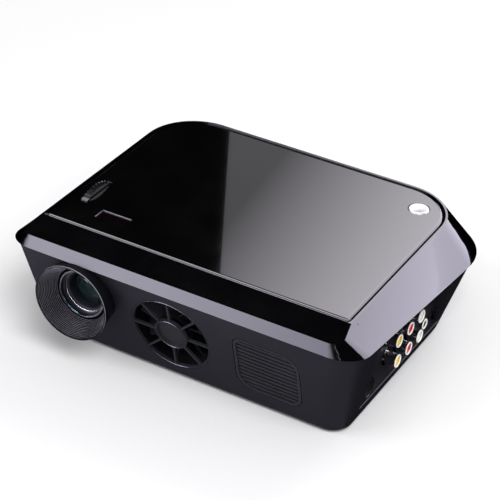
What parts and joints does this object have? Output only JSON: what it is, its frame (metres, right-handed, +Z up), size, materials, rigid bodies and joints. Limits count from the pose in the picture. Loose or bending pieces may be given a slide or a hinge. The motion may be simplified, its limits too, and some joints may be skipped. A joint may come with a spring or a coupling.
{
  "type": "projector with disc player",
  "caption": "Table-top projector with a disc player under a top lid: a two-part flared case with lens hood, focus wheel, fan and speaker grilles, and a bay of sockets in the side.",
  "frame": {"origin": "centre of the footprint, on the table", "axes": "+X from the lens side to the socket side, -Y the front face with the lens, +Z up from the table"},
  "size_m": [0.247, 0.224, 0.086],
  "materials": {
    "satin_shell": "satin dark charcoal, fine moulded texture",
    "gloss_shell": "polished piano black",
    "gloss_lid": "polished piano black",
    "smoked_window": "smoked infrared-clear plastic",
    "silver_button": "silver lacquer",
    "black_trim": "satin black",
    "bay_black": "matt black",
    "barrel_black": "matt black",
    "bright_ring": "bright ring",
    "lens_glass": "coated optical glass",
    "panel_glass": "display panel glass",
    "steel": "ground steel",
    "motor_can": "plated steel",
    "hub_black": "matt black",
    "gear_white": "natural acetal",
    "latch_grey": "grey plastic",
    "lamp_white": "white lamp board",
    "sink_aluminium": "extruded aluminium",
    "cone_paper": "black paper",
    "socket_chrome": "nickel plate",
    "core_yellow": "yellow",
    "core_red": "red",
    "core_white": "white",
    "jack_black": "black",
    "jack_ring": "nickel plate",
    "board_green": "solder mask",
    "foot_rubber": "black rubber"
  },
  "bodies": {
    "case": {"case_screws": "steel", "condenser_holder": "bay_black", "condenser_lens": "lens_glass", "disc_deck": "bay_black", "fan_frame": "bay_black", "fan_grille": "black_trim", "front_field_lens": "lens_glass", "image_panel": "panel_glass", "infrared_sensor": "bay_black", "lamp_heat_sink": "sink_aluminium", "lamp_module": "lamp_white", "lens_guide": "bay_black", "lens_hood": "black_trim", "lower_shell": "satin_shell", "main_board": "board_green", "motor_plate": "steel", "optics_tunnel": "bay_black", "phones_jack": "jack_ring", "power_inlet": "jack_black", "rca_cores_red": "core_red", "rca_cores_white": "core_white", "rca_cores_yellow": "core_yellow", "rca_sleeves": "socket_chrome", "rear_field_lens": "lens_glass", "rubber_feet": "foot_rubber", "signal_jack": "jack_ring", "sled_rails": "steel", "socket_board": "board_green", "socket_panel": "satin_shell", "speaker_basket": "motor_can", "speaker_cone": "cone_paper", "speaker_grille": "black_trim", "spindle_motor": "motor_can", "upper_shell": "gloss_shell", "wheel_pin": "steel"},
    "lid": {"disc_lid": "gloss_lid", "infrared_window": "smoked_window", "hinge_pins": "steel"},
    "clamp": {"disc_clamp": "bay_black"},
    "button": {"open_button": "silver_button"},
    "latch": {"lid_latch": "latch_grey"},
    "hub": {"disc_hub": "hub_black", "spindle_shaft": "steel"},
    "sled": {"pickup_sled": "latch_grey", "pickup_lens": "lens_glass"},
    "sled_gear": {"sled_pinion": "gear_white"},
    "wheel": {"focus_wheel": "black_trim"},
    "barrel": {"lens_barrel": "barrel_black", "lens_ring": "bright_ring", "front_lens": "lens_glass", "rear_lens": "lens_glass"},
    "rotor": {"fan_rotor": "bay_black"}
  },
  "joints": [
    {"name": "lid_hinge", "type": "hinge", "parent": "case", "child": "lid", "pos_m": [0, -0.08, 0.079], "axis": [1, 0, 0], "range_deg": [0, 75]},
    {"name": "clamp_spin", "type": "hinge", "parent": "lid", "child": "clamp", "pos_m": [0.03, -0.005, 0.0776], "axis": [0, 0, 1], "continuous": true},
    {"name": "button_press", "type": "slide", "parent": "lid", "child": "button", "axis": [0, 0, -1], "range_m": [0, 0.0015], "stiffness_N_per_m": 400},
    {"name": "latch_slide", "type": "slide", "parent": "case", "child": "latch", "axis": [0, -1, 0], "range_m": [0, 0.00201]},
    {"name": "hub_spin", "type": "hinge", "parent": "case", "child": "hub", "pos_m": [0.03, -0.005, 0.066], "axis": [0, 0, 1], "continuous": true},
    {"name": "sled_slide", "type": "slide", "parent": "case", "child": "sled", "axis": [0, 1, 0], "range_m": [0, 0.0301]},
    {"name": "sled_gear_turn", "type": "hinge", "parent": "case", "child": "sled_gear", "pos_m": [-0.0038, 0.034, 0.0563], "axis": [0, 0, 1], "range_deg": [0, 287.5]},
    {"name": "wheel_turn", "type": "hinge", "parent": "case", "child": "wheel", "pos_m": [-0.0955, -0.0435, 0.058], "axis": [1, 0, 0], "range_deg": [-28, 28]},
    {"name": "focus_slide", "type": "slide", "parent": "case", "child": "barrel", "axis": [0, 1, 0], "range_m": [-0.003, 0.003]},
    {"name": "fan_spin", "type": "hinge", "parent": "case", "child": "rotor", "pos_m": [-0.0065, -0.0953, 0.0363], "axis": [0, -0.9711, -0.2385], "continuous": true}
  ],
  "couplings": [
    {"joint": "latch_slide", "follows": "button_press", "ratio": 1.3333},
    {"joint": "sled_gear_turn", "follows": "sled_slide", "rad_per_m": 166.67},
    {"joint": "focus_slide", "follows": "wheel_turn", "m_per_rad": 0.006}
  ]
}
